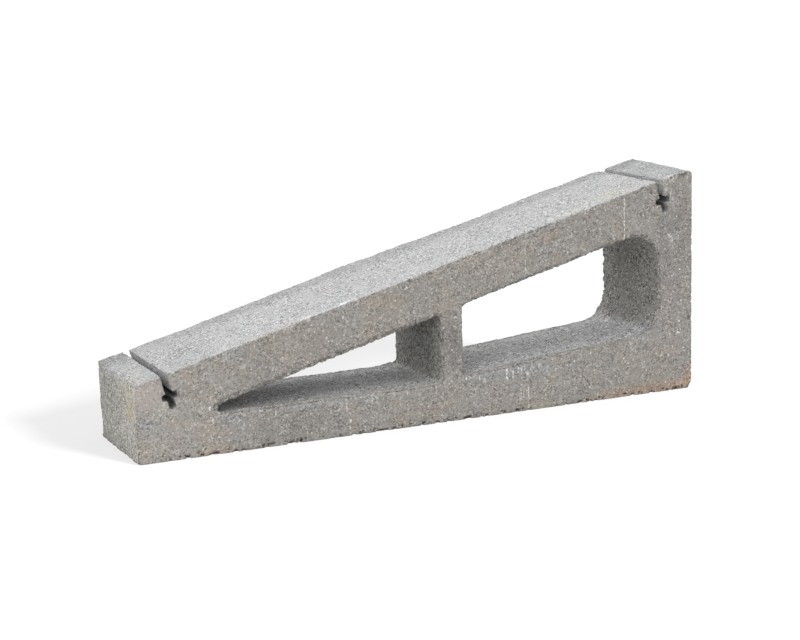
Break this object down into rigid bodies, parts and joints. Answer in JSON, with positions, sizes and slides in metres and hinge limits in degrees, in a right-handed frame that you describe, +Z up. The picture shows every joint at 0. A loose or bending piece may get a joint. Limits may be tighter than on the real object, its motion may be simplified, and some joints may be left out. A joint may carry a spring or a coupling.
{
  "type": "solar panel ballast block",
  "caption": "One-piece cast concrete wedge with two through windows and a bolt slot across each end of its sloped deck; it holds a solar panel at a fixed tilt by weight.",
  "frame": {"origin": "centre of the footprint, at the height of the base", "axes": "+X runs from the low end to the high end, +Y goes through the width from the front face to the back face, +Z is up"},
  "size_m": [1, 0.2, 0.3844],
  "materials": {
    "concrete": "bare grey dry-cast concrete, matt and finely pitted, with light and dark grains and crumbled arrises"
  },
  "bodies": {
    "root": {"ballast_block": "concrete"}
  },
  "joints": []
}
